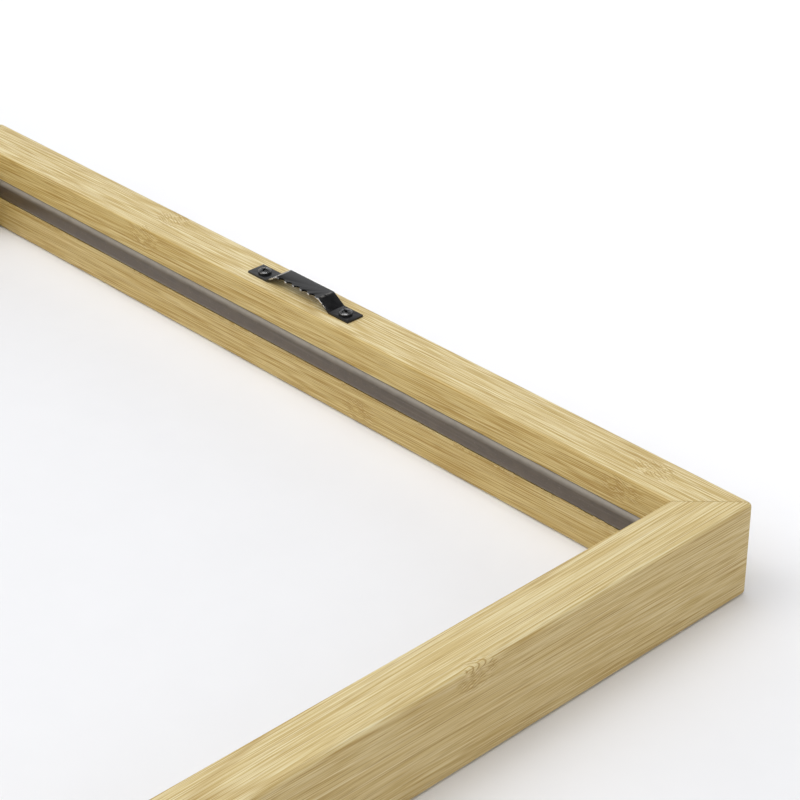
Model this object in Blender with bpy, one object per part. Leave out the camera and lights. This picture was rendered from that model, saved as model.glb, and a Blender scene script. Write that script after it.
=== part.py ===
"""An open bamboo frame for a twelve-inch record sleeve, lying face down as on a bench.

Four mitred rails, doweled at the corners, carry a rubber grip strip in a groove round the opening:
the sleeve is pressed in between the strips and needs no glass or backing board. A sawtooth hanger is
screwed to the back of the top rail.

Metres, +Z up. The origin is the middle of the front face, which lies on Z = 0, so the back of the
frame faces up. +Y is the top of the frame when it hangs, and +X is on the right seen from behind.
"""

from math import atan2, cos, pi, radians, sin, sqrt, tan

import bmesh
import bpy
from mathutils import Matrix, Vector

MM = 0.001

# The record sleeve, and the room between its edge and each grip strip
SLEEVE_SIDE = 315.0 * MM
GRIP_CLEARANCE = 0.1 * MM

# Bamboo rails
RAIL_WIDTH = 16.4 * MM  # across the frame's face
RAIL_DEPTH = 30.4 * MM  # from front to back
EDGE_ROUND = 1.5 * MM  # outer edges, and the front edge of the opening
BACK_LIP_ROUND = 0.6 * MM  # back edge of the opening
MITRE_GAP = 0.1 * MM  # glue line between two rails

# Groove that runs round the opening
GROOVE_HEIGHT = 7.7 * MM
GROOVE_DEPTH = 4.2 * MM
GROOVE_BELOW_BACK = 10.3 * MM

# Rubber grip strips
STRIP_BULGE = 1.1 * MM  # how far a strip stands out of its groove
STRIP_SHOULDER = 1.4 * MM  # height of the bevels above and below its flat face
STRIP_EDGE_ROUND = 0.9 * MM
STRIP_CLEARANCE = 0.1 * MM  # to the walls of the groove
STRIP_END_GAP = 0.2 * MM  # from a strip's mitred end to the corner's diagonal

# Fluted dowels across the mitres
DOWEL_DIAMETER = 5.0 * MM
DOWEL_LENGTH = 15.0 * MM
DOWEL_CHAMFER = 0.6 * MM
DOWEL_FLUTES = 14
DOWEL_FLUTE_DEPTH = 0.2 * MM
DOWEL_CLEARANCE = 0.15 * MM
DOWEL_COVER = 1.8 * MM  # bamboo left between a dowel hole and the rail's outer side

# Sawtooth hanger, bent from a steel strip
HANGER_LENGTH = 47.4 * MM
HANGER_WIDTH = 6.7 * MM
HANGER_THICKNESS = 0.55 * MM
HANGER_FOOT = 8.9 * MM
HANGER_LEG_RUN = 4.8 * MM
HANGER_RISE = 3.1 * MM
HANGER_BEND = 0.5 * MM  # inside radius of the bends
HANGER_CORNER = 0.2 * MM
HANGER_INSET = 4.35 * MM  # from the opening to the toothed edge
NOTCH_COUNT = 5
NOTCH_PITCH = 3.6 * MM
NOTCH_RADIUS = 1.5 * MM
NOTCH_DEPTH = 0.9 * MM
SEAT_GAP = 0.1 * MM  # under the hanger and under the screw heads

# Cross-recess pan-head screws
SCREW_FROM_END = 4.5 * MM  # from the end of the hanger to the screw's axis
SCREW_HEAD_DIAMETER = 4.4 * MM
SCREW_HEAD_HEIGHT = 1.2 * MM
SCREW_HEAD_RIM = 0.6 * MM  # height of the head's upright rim
SCREW_SHANK_DIAMETER = 2.0 * MM
SCREW_LENGTH = 10.0 * MM  # under the head
SCREW_POINT = 2.5 * MM
SCREW_CLEARANCE = 0.2 * MM  # in the pilot hole and in the hanger
RECESS_SPAN = 3.0 * MM
RECESS_SLOT = 0.9 * MM
RECESS_DEPTH = 0.9 * MM
RECESS_TAPER = 0.55  # size of the recess's floor over that of its mouth

# Facets on round forms, and distances that only the cutting needs
ROUND_STEPS = 4
CORNER_STEPS = 2  # on the small corners of the hanger's feet
TURN_STEPS = 24
SMOOTH_ANGLE = 35  # degrees between two faces that still look round
CUT_MARGIN = 1.0 * MM  # how far a cutter stands clear of what it cuts
SAME_PLACE = 0.001 * MM  # points nearer than this are one point

# Worked out from the values above
OPENING_HALF = SLEEVE_SIDE / 2 + GRIP_CLEARANCE + STRIP_BULGE
OUTER_SIDE = 2 * (OPENING_HALF + RAIL_WIDTH)
GROOVE_TOP = RAIL_DEPTH - GROOVE_BELOW_BACK
GROOVE_BOTTOM = GROOVE_TOP - GROOVE_HEIGHT
DOWEL_HOLE_RADIUS = DOWEL_DIAMETER / 2 + DOWEL_CLEARANCE
DOWEL_HOLE_LENGTH = DOWEL_LENGTH + 2 * DOWEL_CLEARANCE
DOWEL_FROM_OUTSIDE = DOWEL_COVER + (DOWEL_HOLE_LENGTH / 2 + DOWEL_HOLE_RADIUS) / sqrt(2)
HANGER_EDGE_Y = OPENING_HALF + HANGER_INSET
HANGER_SEAT_Z = RAIL_DEPTH + SEAT_GAP
SCREW_X = HANGER_LENGTH / 2 - SCREW_FROM_END
SCREW_Y = HANGER_EDGE_Y + HANGER_WIDTH / 2
SCREW_SEAT_Z = HANGER_SEAT_Z + HANGER_THICKNESS + SEAT_GAP

# The sides in order round the square, a quarter turn apart, and each corner by its signs
SIDES = ("top", "left", "bottom", "right")
CORNERS = {"top_right": (1, 1), "top_left": (-1, 1), "bottom_left": (-1, -1), "bottom_right": (1, -1)}


def clear_scene():
    for old in list(bpy.data.objects):
        bpy.data.objects.remove(old, do_unlink=True)


def make_material(name, colour, roughness, metallic=0.0):
    material = bpy.data.materials.new(name)
    material.use_nodes = True
    shader = material.node_tree.nodes["Principled BSDF"]
    shader.inputs["Base Color"].default_value = (*colour, 1.0)
    shader.inputs["Roughness"].default_value = roughness
    shader.inputs["Metallic"].default_value = metallic
    return material


def shade(mesh):
    mesh.shade_smooth()
    mesh.set_sharp_from_angle(angle=radians(SMOOTH_ANGLE))


def finish_mesh(bm, name):
    mesh = bpy.data.meshes.new(name)
    bm.to_mesh(mesh)
    bm.free()
    shade(mesh)
    return mesh


def closed_mesh(bm, name):
    """A closed bmesh as a mesh whose faces point outwards."""
    bmesh.ops.recalc_face_normals(bm, faces=bm.faces)
    return finish_mesh(bm, name)


def add_object(name, mesh, parent, material=None, location=(0, 0, 0), turn=(0, 0, 0)):
    obj = bpy.data.objects.new(name, mesh)
    bpy.context.scene.collection.objects.link(obj)
    obj.parent = parent
    obj.location = location
    obj.rotation_euler = turn
    if material is not None and not mesh.materials:
        mesh.materials.append(material)
    return obj


def add_cutter(name, mesh, parent, location=(0, 0, 0), turn=(0, 0, 0)):
    cutter = add_object(name, mesh, parent, None, location, turn)
    cutter.hide_render = True
    cutter.display_type = "WIRE"
    return cutter


def cut(obj, cutter):
    modifier = obj.modifiers.new(cutter.name, "BOOLEAN")
    modifier.operation = "DIFFERENCE"
    modifier.solver = "EXACT"
    modifier.object = cutter


def settle(obj):
    """Apply what was cut from an object, and keep the edges of the cuts sharp."""
    graph = bpy.context.evaluated_depsgraph_get()
    mesh = bpy.data.meshes.new_from_object(obj.evaluated_get(graph))
    obj.modifiers.clear()
    obj.data = mesh
    shade(mesh)


def moved_points(extruded):
    """The points that an extrusion made."""
    return [item for item in extruded["geom"] if isinstance(item, bmesh.types.BMVert)]


def round_corners(points, radii, steps=ROUND_STEPS):
    """An open path through (x, y) points, with an arc of its own radius at each point between the ends."""
    path = [Vector(points[0])]
    for before, corner, after, radius in zip(points, points[1:], points[2:], radii):
        corner = Vector(corner)
        come = (corner - Vector(before)).normalized()
        leave = (Vector(after) - corner).normalized()
        turn = -come.angle_signed(leave)
        start = corner - come * radius * tan(abs(turn) / 2)
        side = 1 if turn > 0 else -1
        spoke = Vector((come.y, -come.x)) * radius * side
        centre = start - spoke
        for step in range(steps + 1):
            path.append(centre + Matrix.Rotation(turn * step / steps, 2) @ spoke)
    path.append(Vector(points[-1]))
    return path


def cylinder_mesh(name, radius, length, steps=TURN_STEPS):
    """A cylinder on the Z axis, centred on the origin."""
    bm = bmesh.new()
    bmesh.ops.create_cone(bm, cap_ends=True, segments=steps, radius1=radius, radius2=radius, depth=length)
    return closed_mesh(bm, name)


def round_edges(bm, edges, radius, steps=ROUND_STEPS):
    bmesh.ops.bevel(
        bm,
        geom=edges,
        offset=radius,
        offset_type="OFFSET",
        segments=steps,
        profile=0.5,
        affect="EDGES",
        material=-1,
    )


def on_opening(vert):
    return abs(max(abs(vert.co.x), abs(vert.co.y)) - OPENING_HALF) < SAME_PLACE


def opening_walls(bm):
    return [face for face in bm.faces if all(on_opening(vert) for vert in face.verts)]


def opening_lip(bm, height):
    """The edges round the opening at one height."""
    level = [vert for vert in bm.verts if on_opening(vert) and abs(vert.co.z - height) < SAME_PLACE]
    return [edge for edge in bm.edges if all(vert in level for vert in edge.verts)]


def score_walls(bm, height):
    """A line round the opening's walls at one height."""
    walls = opening_walls(bm)
    edges = dict.fromkeys(edge for face in walls for edge in face.edges)
    verts = dict.fromkeys(vert for face in walls for vert in face.verts)
    bmesh.ops.bisect_plane(bm, geom=[*verts, *edges, *walls], plane_co=(0, 0, height), plane_no=(0, 0, 1))


def frame_ring():
    """The frame in one piece: a block with its opening, its groove and its rounded edges."""
    bm = bmesh.new()
    size = Matrix.Diagonal((OUTER_SIDE, OUTER_SIDE, RAIL_DEPTH, 1))
    bmesh.ops.create_cube(bm, size=1.0, matrix=Matrix.Translation((0, 0, RAIL_DEPTH / 2)) @ size)
    outer_edges = bm.edges[:]
    faces = [face for face in bm.faces if abs(face.normal.z) > 0.5]
    bmesh.ops.inset_individual(bm, faces=faces, thickness=RAIL_WIDTH, use_even_offset=True)
    rims = [edge for face in faces for edge in face.edges]
    bmesh.ops.delete(bm, geom=faces, context="FACES_ONLY")
    bmesh.ops.bridge_loops(bm, edges=rims)

    score_walls(bm, GROOVE_BOTTOM)
    score_walls(bm, GROOVE_TOP)
    band = [face for face in opening_walls(bm) if GROOVE_BOTTOM < face.calc_center_median().z < GROOVE_TOP]
    floor = moved_points(bmesh.ops.extrude_face_region(bm, geom=band))
    bmesh.ops.delete(bm, geom=band, context="FACES_ONLY")
    spread = (OPENING_HALF + GROOVE_DEPTH) / OPENING_HALF
    bmesh.ops.scale(bm, vec=(spread, spread, 1), verts=floor)

    round_edges(bm, outer_edges + opening_lip(bm, 0), EDGE_ROUND)
    round_edges(bm, opening_lip(bm, RAIL_DEPTH), BACK_LIP_ROUND)
    return bm


def rail_mesh():
    """The top rail: what two mitre cuts leave of the ring."""
    bm = frame_ring()
    for side in (-1, 1):
        outward = Vector((side, -1, 0)).normalized()
        sawn = bmesh.ops.bisect_plane(
            bm,
            geom=bm.verts[:] + bm.edges[:] + bm.faces[:],
            plane_co=-outward * MITRE_GAP / 2,
            plane_no=outward,
            clear_outer=True,
        )
        rim = [item for item in sawn["geom_cut"] if isinstance(item, bmesh.types.BMEdge)]
        bmesh.ops.holes_fill(bm, edges=rim)
    return closed_mesh(bm, "rail")


def strip_mesh():
    """The top grip strip: one section, carried from mitre to mitre."""
    root = OPENING_HALF + GROOVE_DEPTH - STRIP_CLEARANCE
    front = OPENING_HALF - STRIP_BULGE
    low = GROOVE_BOTTOM + STRIP_CLEARANCE
    high = GROOVE_TOP - STRIP_CLEARANCE
    corners = [
        (root, low),
        (OPENING_HALF, low),
        (front, low + STRIP_SHOULDER),
        (front, high - STRIP_SHOULDER),
        (OPENING_HALF, high),
        (root, high),
    ]
    section = round_corners(corners, [0, STRIP_EDGE_ROUND, STRIP_EDGE_ROUND, 0])
    bm = bmesh.new()
    for point in section:
        bm.verts.new((STRIP_END_GAP - point.x, point.x, point.y))
    bm.faces.new(bm.verts[:])
    bmesh.ops.remove_doubles(bm, verts=bm.verts[:], dist=SAME_PLACE)
    for vert in moved_points(bmesh.ops.extrude_face_region(bm, geom=bm.faces[:])):
        vert.co.x = -vert.co.x
    return closed_mesh(bm, "grip_strip")


def dowel_mesh():
    """A fluted dowel on the Z axis, centred on the origin, with chamfered ends."""
    radius = DOWEL_DIAMETER / 2
    bm = bmesh.new()
    bmesh.ops.create_cone(
        bm, cap_ends=True, segments=2 * DOWEL_FLUTES, radius1=radius, radius2=radius, depth=DOWEL_LENGTH
    )
    for vert in bm.verts:
        if round(atan2(vert.co.y, vert.co.x) / (pi / DOWEL_FLUTES)) % 2:
            vert.co.xy *= 1 - DOWEL_FLUTE_DEPTH / radius
    rims = [edge for edge in bm.edges if edge.verts[0].co.z * edge.verts[1].co.z > 0]
    round_edges(bm, rims, DOWEL_CHAMFER, steps=1)
    return closed_mesh(bm, "dowel")


def hanger_mesh():
    """The hanger's underside as a bent sheet at Y = 0 to its width. Its thickness is added afterwards."""
    end = HANGER_LENGTH / 2
    knee = end - HANGER_FOOT
    shoulder = knee - HANGER_LEG_RUN
    corners = [
        (-end, 0),
        (-knee, 0),
        (-shoulder, HANGER_RISE),
        (shoulder, HANGER_RISE),
        (knee, 0),
        (end, 0),
    ]
    outer_bend = HANGER_BEND + HANGER_THICKNESS
    path = round_corners(corners, [outer_bend, HANGER_BEND, HANGER_BEND, outer_bend])
    bm = bmesh.new()
    verts = [bm.verts.new((point.x, 0, point.y)) for point in path]
    edges = [bm.edges.new(pair) for pair in zip(verts, verts[1:])]
    far_side = moved_points(bmesh.ops.extrude_edge_only(bm, edges=edges))
    bmesh.ops.translate(bm, vec=(0, HANGER_WIDTH, 0), verts=far_side)
    bm.normal_update()
    bmesh.ops.reverse_faces(bm, faces=[face for face in bm.faces if face.normal.z < 0])
    tips = [vert for vert in bm.verts if abs(abs(vert.co.x) - end) < SAME_PLACE]
    bmesh.ops.bevel(
        bm,
        geom=tips,
        offset=HANGER_CORNER,
        offset_type="OFFSET",
        segments=CORNER_STEPS,
        profile=0.5,
        affect="VERTICES",
        material=-1,
    )
    return finish_mesh(bm, "sawtooth_hanger")


def screw_mesh():
    """A pan-head screw on the Z axis, with the underside of its head at the origin."""
    head = SCREW_HEAD_DIAMETER / 2
    shank = SCREW_SHANK_DIAMETER / 2
    crown = SCREW_HEAD_HEIGHT - SCREW_HEAD_RIM
    dome = (head**2 + crown**2) / (2 * crown)
    sweep = atan2(head, dome - crown)
    profile = []
    for step in range(ROUND_STEPS + 1):
        angle = sweep * step / ROUND_STEPS
        profile.append((dome * sin(angle), SCREW_HEAD_HEIGHT - dome * (1 - cos(angle))))
    profile += [(head, 0), (shank, 0), (shank, SCREW_POINT - SCREW_LENGTH), (0, -SCREW_LENGTH)]
    bm = bmesh.new()
    verts = [bm.verts.new((x, 0, z)) for x, z in profile]
    edges = [bm.edges.new(pair) for pair in zip(verts, verts[1:])]
    bmesh.ops.spin(
        bm, geom=verts + edges, cent=(0, 0, 0), axis=(0, 0, 1), angle=2 * pi, steps=TURN_STEPS, use_merge=True
    )
    bmesh.ops.remove_doubles(bm, verts=bm.verts[:], dist=SAME_PLACE)
    return closed_mesh(bm, "hanger_screw")


def recess_mesh():
    """The driver's cross, on the same axis as the screw: a tapered plus sign."""
    arm = RECESS_SPAN / 2
    side = RECESS_SLOT / 2
    bm = bmesh.new()
    for quarter in range(4):
        for x, y in ((side, arm), (-side, arm), (-side, side)):
            corner = Matrix.Rotation(quarter * pi / 2, 3, "Z") @ Vector((x, y, 0))
            bm.verts.new(corner * RECESS_TAPER + Vector((0, 0, SCREW_HEAD_HEIGHT - RECESS_DEPTH)))
    floor = bm.faces.new(bm.verts[:])
    mouth = bmesh.ops.extrude_face_region(bm, geom=[floor])
    bmesh.ops.translate(bm, vec=(0, 0, RECESS_DEPTH), verts=moved_points(mouth))
    bmesh.ops.scale(bm, vec=(1 / RECESS_TAPER, 1 / RECESS_TAPER, 1), verts=moved_points(mouth))
    lid = [item for item in mouth["geom"] if isinstance(item, bmesh.types.BMFace)]
    above = bmesh.ops.extrude_face_region(bm, geom=lid)
    bmesh.ops.delete(bm, geom=lid, context="FACES_ONLY")
    bmesh.ops.translate(bm, vec=(0, 0, CUT_MARGIN), verts=moved_points(above))
    return closed_mesh(bm, "driver_cross")


def side_turns():
    """Each side with the turn that carries the top one there."""
    return [(side, (0, 0, number * pi / 2)) for number, side in enumerate(SIDES)]


def add_rails(parent, bamboo):
    mesh = rail_mesh()
    return {side: add_object(f"{side}_rail", mesh, parent, bamboo, turn=turn) for side, turn in side_turns()}


def add_grip_strips(parent, rubber):
    mesh = strip_mesh()
    for side, turn in side_turns():
        add_object(f"{side}_grip_strip", mesh, parent, rubber, turn=turn)


def add_dowels(parent, rails, beech):
    """Two dowels square to each mitre, one in front of the groove and one behind it."""
    mesh = dowel_mesh()
    hole = cylinder_mesh("dowel_hole", DOWEL_HOLE_RADIUS, DOWEL_HOLE_LENGTH, 2 * DOWEL_FLUTES)
    reach = OPENING_HALF + RAIL_WIDTH - DOWEL_FROM_OUTSIDE
    levels = {"front": GROOVE_BOTTOM / 2, "back": (GROOVE_TOP + RAIL_DEPTH) / 2}
    for corner, (across, along) in CORNERS.items():
        turn = (pi / 2, 0, across * along * pi / 4)
        for level, height in levels.items():
            place = (across * reach, along * reach, height)
            add_object(f"{corner}_{level}_dowel", mesh, parent, beech, place, turn)
            cutter = add_cutter(f"{corner}_{level}_dowel_hole", hole, parent, place, turn)
            for side in corner.split("_"):
                cut(rails[side], cutter)


def add_hanger(parent, top_rail, black_steel, black_zinc):
    """The hanger on the top rail, with its notches, its two screws and their holes."""
    hanger = add_object(
        "sawtooth_hanger", hanger_mesh(), parent, black_steel, location=(0, HANGER_EDGE_Y, HANGER_SEAT_Z)
    )
    wall = hanger.modifiers.new("sheet", "SOLIDIFY")
    wall.thickness = HANGER_THICKNESS
    wall.offset = 1
    wall.use_even_offset = True

    notch = cylinder_mesh("notch", NOTCH_RADIUS, HANGER_THICKNESS + 2 * CUT_MARGIN)
    notch_y = HANGER_EDGE_Y + NOTCH_DEPTH - NOTCH_RADIUS
    notch_z = HANGER_SEAT_Z + HANGER_RISE + HANGER_THICKNESS / 2
    for number in range(NOTCH_COUNT):
        notch_x = (number - (NOTCH_COUNT - 1) / 2) * NOTCH_PITCH
        cut(hanger, add_cutter(f"notch_{number + 1}", notch, parent, (notch_x, notch_y, notch_z)))

    screw = screw_mesh()
    cross = recess_mesh()
    hole_top = SCREW_SEAT_Z + CUT_MARGIN
    hole_bottom = SCREW_SEAT_Z - SCREW_LENGTH - SCREW_CLEARANCE
    hole = cylinder_mesh("screw_hole", SCREW_SHANK_DIAMETER / 2 + SCREW_CLEARANCE, hole_top - hole_bottom)
    for side, x in (("left", -SCREW_X), ("right", SCREW_X)):
        seat = (x, SCREW_Y, SCREW_SEAT_Z)
        driven = add_object(f"{side}_hanger_screw", screw, parent, black_zinc, seat)
        cut(driven, add_cutter(f"{side}_driver_cross", cross, parent, seat))
        settle(driven)
        middle = (x, SCREW_Y, (hole_top + hole_bottom) / 2)
        drilled = add_cutter(f"{side}_screw_hole", hole, parent, middle)
        cut(hanger, drilled)
        cut(top_rail, drilled)
    settle(hanger)


def build():
    clear_scene()
    bamboo = make_material("bamboo", (0.62, 0.47, 0.24), 0.5)
    beech = make_material("beech", (0.60, 0.42, 0.26), 0.6)
    rubber = make_material("grip_rubber", (0.10, 0.087, 0.073), 0.45)
    black_steel = make_material("black_painted_steel", (0.035, 0.035, 0.038), 0.4, 0.3)
    black_zinc = make_material("black_zinc", (0.05, 0.05, 0.052), 0.35, 0.7)

    frame = bpy.data.objects.new("record_frame", None)
    bpy.context.scene.collection.objects.link(frame)
    rails = add_rails(frame, bamboo)
    add_grip_strips(frame, rubber)
    add_dowels(frame, rails, beech)
    add_hanger(frame, rails["top"], black_steel, black_zinc)
    for rail in rails.values():
        settle(rail)


build()
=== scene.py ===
# Bamboo record frame, lying face down on a pale floor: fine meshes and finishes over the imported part
import math

import bmesh
import bpy
from mathutils import Matrix, Vector, noise


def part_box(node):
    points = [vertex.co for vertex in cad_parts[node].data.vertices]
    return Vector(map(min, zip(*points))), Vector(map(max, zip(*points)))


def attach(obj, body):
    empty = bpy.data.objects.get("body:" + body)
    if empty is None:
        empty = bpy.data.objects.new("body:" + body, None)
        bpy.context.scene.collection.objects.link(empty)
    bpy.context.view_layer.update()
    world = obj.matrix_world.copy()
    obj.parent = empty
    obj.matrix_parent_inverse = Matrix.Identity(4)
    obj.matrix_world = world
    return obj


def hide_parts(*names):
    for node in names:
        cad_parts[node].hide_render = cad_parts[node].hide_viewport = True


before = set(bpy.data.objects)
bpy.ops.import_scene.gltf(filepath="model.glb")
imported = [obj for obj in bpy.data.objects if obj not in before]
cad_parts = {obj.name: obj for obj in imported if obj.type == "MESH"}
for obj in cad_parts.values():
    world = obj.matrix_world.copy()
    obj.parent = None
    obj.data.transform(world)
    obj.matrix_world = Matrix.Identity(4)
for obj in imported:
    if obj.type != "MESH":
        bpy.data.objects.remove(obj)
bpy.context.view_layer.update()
scene = bpy.context.scene
mm = 0.001
hair = 0.01 * mm   # points closer than this are taken as one
fullLength = 250 * mm   # a longer edge runs the length of a rail
woodAngle = 32   # faces that meet at fewer degrees than this are shaded as one
metalAngle = 40
mostOfCloud = (0.3, 0.7)   # nearly all of a cloud's values lie between these
up = Vector((0, 0, 1))
hands = ("left", "right")
print("frame loaded:", len(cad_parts), "nodes")


# small helpers for meshes

def shadeByAngle(mesh, smoothAngle):
    mesh.shade_smooth()
    mesh.set_sharp_from_angle(angle=math.radians(smoothAngle))


def meshObject(bm, name):
    mesh = bpy.data.meshes.new(name)
    bm.to_mesh(mesh)
    bm.free()
    obj = bpy.data.objects.new(name, mesh)
    scene.collection.objects.link(obj)
    shadeByAngle(mesh, woodAngle)
    return obj


def applyAll(obj, smoothAngle=woodAngle):
    graph = bpy.context.evaluated_depsgraph_get()
    mesh = bpy.data.meshes.new_from_object(obj.evaluated_get(graph))
    obj.modifiers.clear()
    obj.data = mesh
    shadeByAngle(mesh, smoothAngle)


def cutAway(obj, cutters):
    for cutter in cutters:
        cutting = obj.modifiers.new("cut", "BOOLEAN")
        cutting.operation = "DIFFERENCE"
        cutting.solver = "EXACT"
        cutting.object = cutter


def throwAway(objects):
    for obj in objects:
        bpy.data.objects.remove(obj, do_unlink=True)


def softenEdges(bm, edges, radius, steps):
    bmesh.ops.bevel(bm, geom=edges, offset=radius, offset_type="OFFSET", segments=steps, profile=0.5,
                    affect="EDGES", material=-1)


def softenMetal(obj, width, steps):
    soft = obj.modifiers.new("edges", "BEVEL")
    soft.width = width
    soft.segments = steps
    soft.limit_method = "ANGLE"
    soft.angle_limit = math.radians(metalAngle)


def newVerts(result):
    return [item for item in result["geom"] if isinstance(item, bmesh.types.BMVert)]


def longEdges(bm, shortest):
    # edges along x, as every rail and strip lies while it is made
    return [edge for edge in bm.edges
            if edge.calc_length() > shortest
            and abs(edge.verts[0].co.x - edge.verts[1].co.x) > 0.99 * edge.calc_length()]


def rod(name, radius, length, place, axis, segments=40):
    bm = bmesh.new()
    bmesh.ops.create_cone(bm, cap_ends=True, segments=segments, radius1=radius, radius2=radius,
                          depth=length)
    turned = axis.to_track_quat("Z", "Y").to_matrix().to_4x4()
    bmesh.ops.transform(bm, matrix=Matrix.Translation(place) @ turned, verts=bm.verts)
    return meshObject(bm, name)


def roughWave(waves, x, seed):
    # each wave is its pitch, its own row of the noise, and its share
    return sum(share * noise.noise((pitch * x, seed, row)) for pitch, row, share in waves)


def dress(obj, material, node):
    obj.data.materials.clear()
    obj.data.materials.append(material)
    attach(obj, "root")
    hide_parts(node)


# small helpers for materials

def put(tree, kind, inputs=None, **settings):
    made = tree.nodes.new("ShaderNode" + kind)
    for name, value in settings.items():
        setattr(made, name, value)
    for socket, value in (inputs or {}).items():
        if isinstance(value, bpy.types.NodeSocket):
            tree.links.new(value, made.inputs[socket])
        else:
            made.inputs[socket].default_value = value
    return made


def startMaterial(name):
    material = bpy.data.materials.new(name)
    material.use_nodes = True
    tree = material.node_tree
    tree.nodes.clear()
    shader = put(tree, "BsdfPrincipled")
    put(tree, "OutputMaterial", {"Surface": shader.outputs["BSDF"]})
    return material, tree, shader


def objectPoint(tree):
    return put(tree, "TexCoord").outputs["Object"]


def axes(tree, point):
    return put(tree, "SeparateXYZ", {0: point}).outputs


def facingUp(tree):
    return axes(tree, put(tree, "NewGeometry").outputs["Normal"])["Z"]


def calc(tree, operation, *values):
    return put(tree, "Math", dict(enumerate(values)), operation=operation).outputs[0]


def product(tree, result, *others):
    for other in others:
        result = calc(tree, "MULTIPLY", result, other)
    return result


def total(tree, result, *others):
    for other in others:
        result = calc(tree, "ADD", result, other)
    return result


def vector(tree, operation, *values):
    return put(tree, "VectorMath", dict(enumerate(values)), operation=operation).outputs[0]


def mapped(tree, point, scale=(1, 1, 1), turn=(0, 0, 0), shift=(0, 0, 0)):
    inputs = {"Vector": point, "Scale": scale, "Rotation": turn, "Location": shift}
    return put(tree, "Mapping", inputs).outputs["Vector"]


def speckle(tree, point, scale, detail, rough=0.6):
    inputs = {"Vector": mapped(tree, point, scale), "Scale": 1.0, "Detail": detail, "Roughness": rough}
    return put(tree, "TexNoise", inputs).outputs


def cloud(tree, point, scale, detail=0.0, rough=0.6):
    return speckle(tree, point, scale, detail, rough)["Fac"]


def sideStep(tree, point, scale, detail, reach):
    # a step across the rail, taken from a cloud's colour about its middle
    step = vector(tree, "SUBTRACT", speckle(tree, point, scale, detail)["Color"], (0.5, 0.5, 0.5))
    return vector(tree, "MULTIPLY", step, (0, reach, reach))


def spread(tree, value, low, high, toLow=0.0, toHigh=1.0, smooth=False):
    kind = "SMOOTHSTEP" if smooth else "LINEAR"
    inputs = {"Value": value, "From Min": low, "From Max": high, "To Min": toLow, "To Max": toHigh}
    return put(tree, "MapRange", inputs, interpolation_type=kind).outputs["Result"]


def fadeOut(tree, value, low, high, smooth=False):
    return spread(tree, value, low, high, 1.0, 0.0, smooth)


def blendColour(tree, amount, first, second):
    made = put(tree, "Mix", data_type="RGBA")
    for socket, value in ((made.inputs[0], amount), (made.inputs[6], first), (made.inputs[7], second)):
        if isinstance(value, bpy.types.NodeSocket):
            tree.links.new(value, socket)
        else:
            socket.default_value = value if isinstance(value, float) else (*value, 1)
    return made.outputs[2]


def ramp(tree, value, stops):
    made = put(tree, "ValToRGB", {"Fac": value})
    bar = made.color_ramp
    while len(bar.elements) < len(stops):
        bar.elements.new(0.5)
    for element, (position, colour) in zip(bar.elements, stops):
        element.position = position
        element.color = (*colour, 1)
    return made.outputs["Color"]


def bumps(tree, shader, height, distance, strength):
    made = put(tree, "Bump", {"Height": height, "Distance": distance, "Strength": strength})
    tree.links.new(made.outputs["Normal"], shader.inputs["Normal"])


# bamboo: long fibres, glued lamellas, and the knuckles where the cane had its joints

railLow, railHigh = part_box("top_rail")

bambooLook = {
    "stops": [
        (0.20, (0.49, 0.345, 0.12)),
        (0.40, (0.615, 0.475, 0.215)),
        (0.57, (0.69, 0.563, 0.29)),
        (0.82, (0.79, 0.695, 0.435)),
    ],
    # clouds drawn out along the rail: cycles per metre of each axis, and the share of each in the tone
    "bands": [((5, 230, 230), 0.07), ((5, 460, 460), 0.03), ((9, 950, 950), 0.03)],
    # other clouds: cycles per metre of each axis, detail, and for some a third value
    "threads": ((9, 3600, 3600), 1.0, 0.5),   # third: roughness
    "lines": ((5, 480, 480), 1.0, 0.026),   # third: how near its middle value the cloud shows a line
    "fineLines": ((14, 1150, 1150), 1.0, 0.06),
    "dashes": ((95, 2100, 2100), 1.0),
    "wander": ((7, 70, 70), 0.0, 0.8 * mm),   # third: reach
    "knuckleSwirl": ((170, 230, 230), 1.0, 1.6 * mm),
    "hatchBreaks": ((260, 420, 420), 1.0),
    "threadStep": 0.115 * mm,   # a thread is the change of its cloud over this step
    "threadShare": 2.3,
    "lamella": (1.0, 5.8 * mm, 7.6 * mm),   # along the rail, across and up
    "lamellaShare": 0.05,
    "glueLine": 0.09 * mm,
    "mitreLine": 0.24 * mm,
    "lineBreaks": (24, 0.9),   # cycles per metre along, and a share of the line's own across
    "ownPart": (0.31, 0.17),   # where in its clouds a rail's wander begins, and the change with its seed
    "knuckleReach": (11 * mm, 6.5 * mm, 6 * mm),
    "knuckleDim": 0.04,
    "hatch": (420, 1080, 1080),   # strokes across the fibres in a knuckle, in cycles per metre
    # the values between which each kind of mark comes in
    "lineIn": (0.42, 0.60),
    "dashIn": (0.58, 0.70),
    "strokeIn": (0.5, 0.95),
    "hatchIn": (0.40, 0.50),
    "knuckleIn": (0.15, 0.6),
    "lineColour": (0.37, 0.225, 0.055),
    # how much of the line colour each mark takes on, and the most that shows anywhere
    "darkness": {"line": 0.45, "fineLine": 0.30, "dash": 0.30, "stroke": 1.3, "glue": 0.30, "mitre": 0.5},
    "darkest": 0.7,
    "wallShadeTint": (0.83, 0.75, 0.54),   # painted shade: the walls of the opening, made deeper and warmer
    "wallShadeFade": (0.2 * mm, 0.9 * mm),
    "sideShadeTint": (0.93, 0.865, 0.74),   # painted shade: the outer sides, made a little darker and warmer
    "sideShadeFade": (0.7 * mm, 0.1 * mm),
    "roughness": (0.56, 0.40),
    "specular": 0.35,
    "markDepth": 0.8,
    "relief": (0.10 * mm, 0.5),
}

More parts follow.
